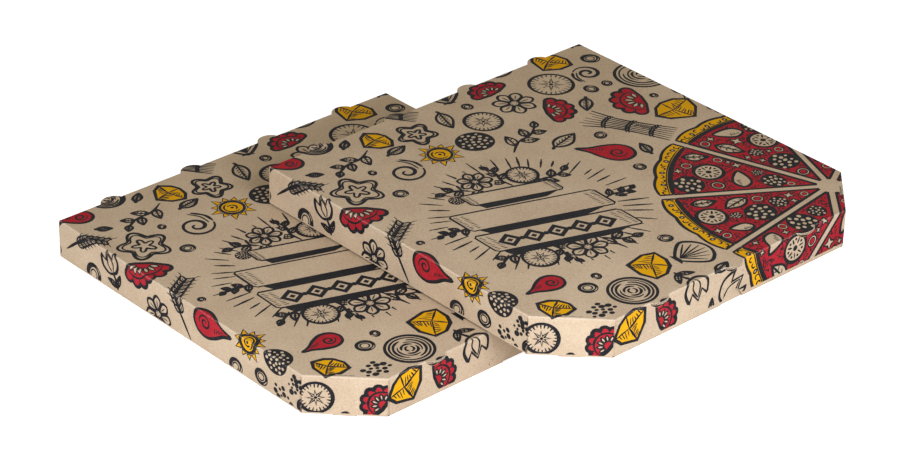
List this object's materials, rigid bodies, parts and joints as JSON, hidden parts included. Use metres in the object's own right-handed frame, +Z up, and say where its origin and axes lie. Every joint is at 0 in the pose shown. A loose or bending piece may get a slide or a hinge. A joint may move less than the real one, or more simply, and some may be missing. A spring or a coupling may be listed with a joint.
{
  "type": "stack of pizza boxes",
  "caption": "Flat square carton with cut front corners, resting askew on another of its kind; the top one's lid folds up about its back edge.",
  "frame": {"origin": "centre of the lower box's base, on the surface it stands on", "axes": "+Z up, -Y towards the front edge with the cut corners, +X to the right seen from the front"},
  "size_m": [0.496, 0.4494, 0.07],
  "materials": {
    "kraft_board": "matt"
  },
  "bodies": {
    "stack": {"lower_box": "kraft_board", "upper_tray": "kraft_board"},
    "upper_lid": {"upper_lid": "kraft_board"}
  },
  "joints": [
    {"name": "upper_lid_hinge", "type": "hinge", "parent": "stack", "child": "upper_lid", "pos_m": [0.146, 0.08525, 0.06925], "axis": [-1, 0, 0], "range_deg": [0, 180]}
  ]
}
